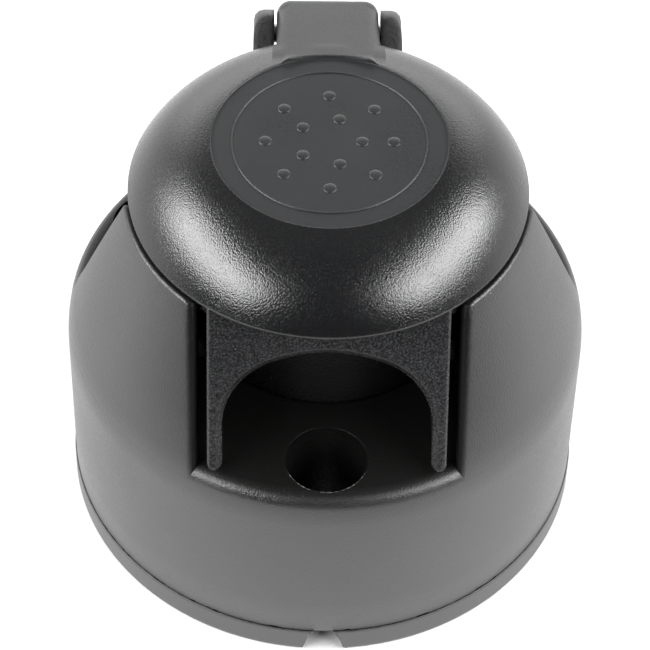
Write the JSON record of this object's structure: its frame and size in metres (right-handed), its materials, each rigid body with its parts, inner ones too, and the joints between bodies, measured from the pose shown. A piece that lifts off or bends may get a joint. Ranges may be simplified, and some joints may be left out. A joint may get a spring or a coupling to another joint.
{
  "type": "trailer wiring connector",
  "caption": "Surface-mounted round trailer wiring socket with a spring-closed domed lid over a ring of contacts, on a windowed flared housing with a rubber base gasket.",
  "frame": {"origin": "centre of the mounting face, on the socket's axis, where the axis meets the plane the base gasket rests on", "axes": "+Z along the socket's axis, from the mounting face to the lid; +Y towards the lid's hinge; +X to the right when the drain notch faces the viewer"},
  "size_m": [0.082, 0.0828, 0.0738],
  "materials": {
    "shell_plastic": "fine-grained moulded black plastic",
    "gasket_rubber": "matte moulded rubber",
    "body_plastic": "satin moulded black plastic",
    "insert_plastic": "satin moulded black plastic",
    "contact_brass": "turned brass",
    "lock_plastic": "natural moulded plastic",
    "cap_plastic": "satin moulded black plastic",
    "seal_rubber": "smooth soft rubber",
    "screw_steel": "zinc-plated steel",
    "spring_steel": "drawn stainless wire",
    "lid_plastic": "satin moulded black plastic"
  },
  "bodies": {
    "socket": {"outer_shell": "shell_plastic", "base_gasket": "gasket_rubber", "socket_body": "body_plastic", "contact_insert": "insert_plastic", "insert_seal": "seal_rubber", "contact_1": "contact_brass", "contact_2": "contact_brass", "contact_3": "contact_brass", "contact_4": "contact_brass", "contact_5": "contact_brass", "contact_6": "contact_brass", "contact_7": "contact_brass", "contact_8": "contact_brass", "contact_9": "contact_brass", "contact_10": "contact_brass", "contact_11": "contact_brass", "contact_12": "contact_brass", "contact_13": "contact_brass", "terminal_screws": "screw_steel", "contact_lock": "lock_plastic", "rear_cap": "cap_plastic", "cap_gasket": "seal_rubber", "cable_grommet": "seal_rubber", "body_seal": "seal_rubber", "assembly_screws": "screw_steel", "hinge_pin": "screw_steel", "lid_spring": "spring_steel"},
    "lid": {"lid": "lid_plastic", "lid_seal": "seal_rubber"}
  },
  "joints": [
    {"name": "lid_hinge", "type": "hinge", "parent": "socket", "child": "lid", "pos_m": [0, 0.0366, 0.0602], "axis": [-1, 0, 0], "range_deg": [0, 110], "stiffness_Nm_per_rad": 0.06, "springref_deg": -28.65, "deforming": ["lid_spring"]}
  ]
}
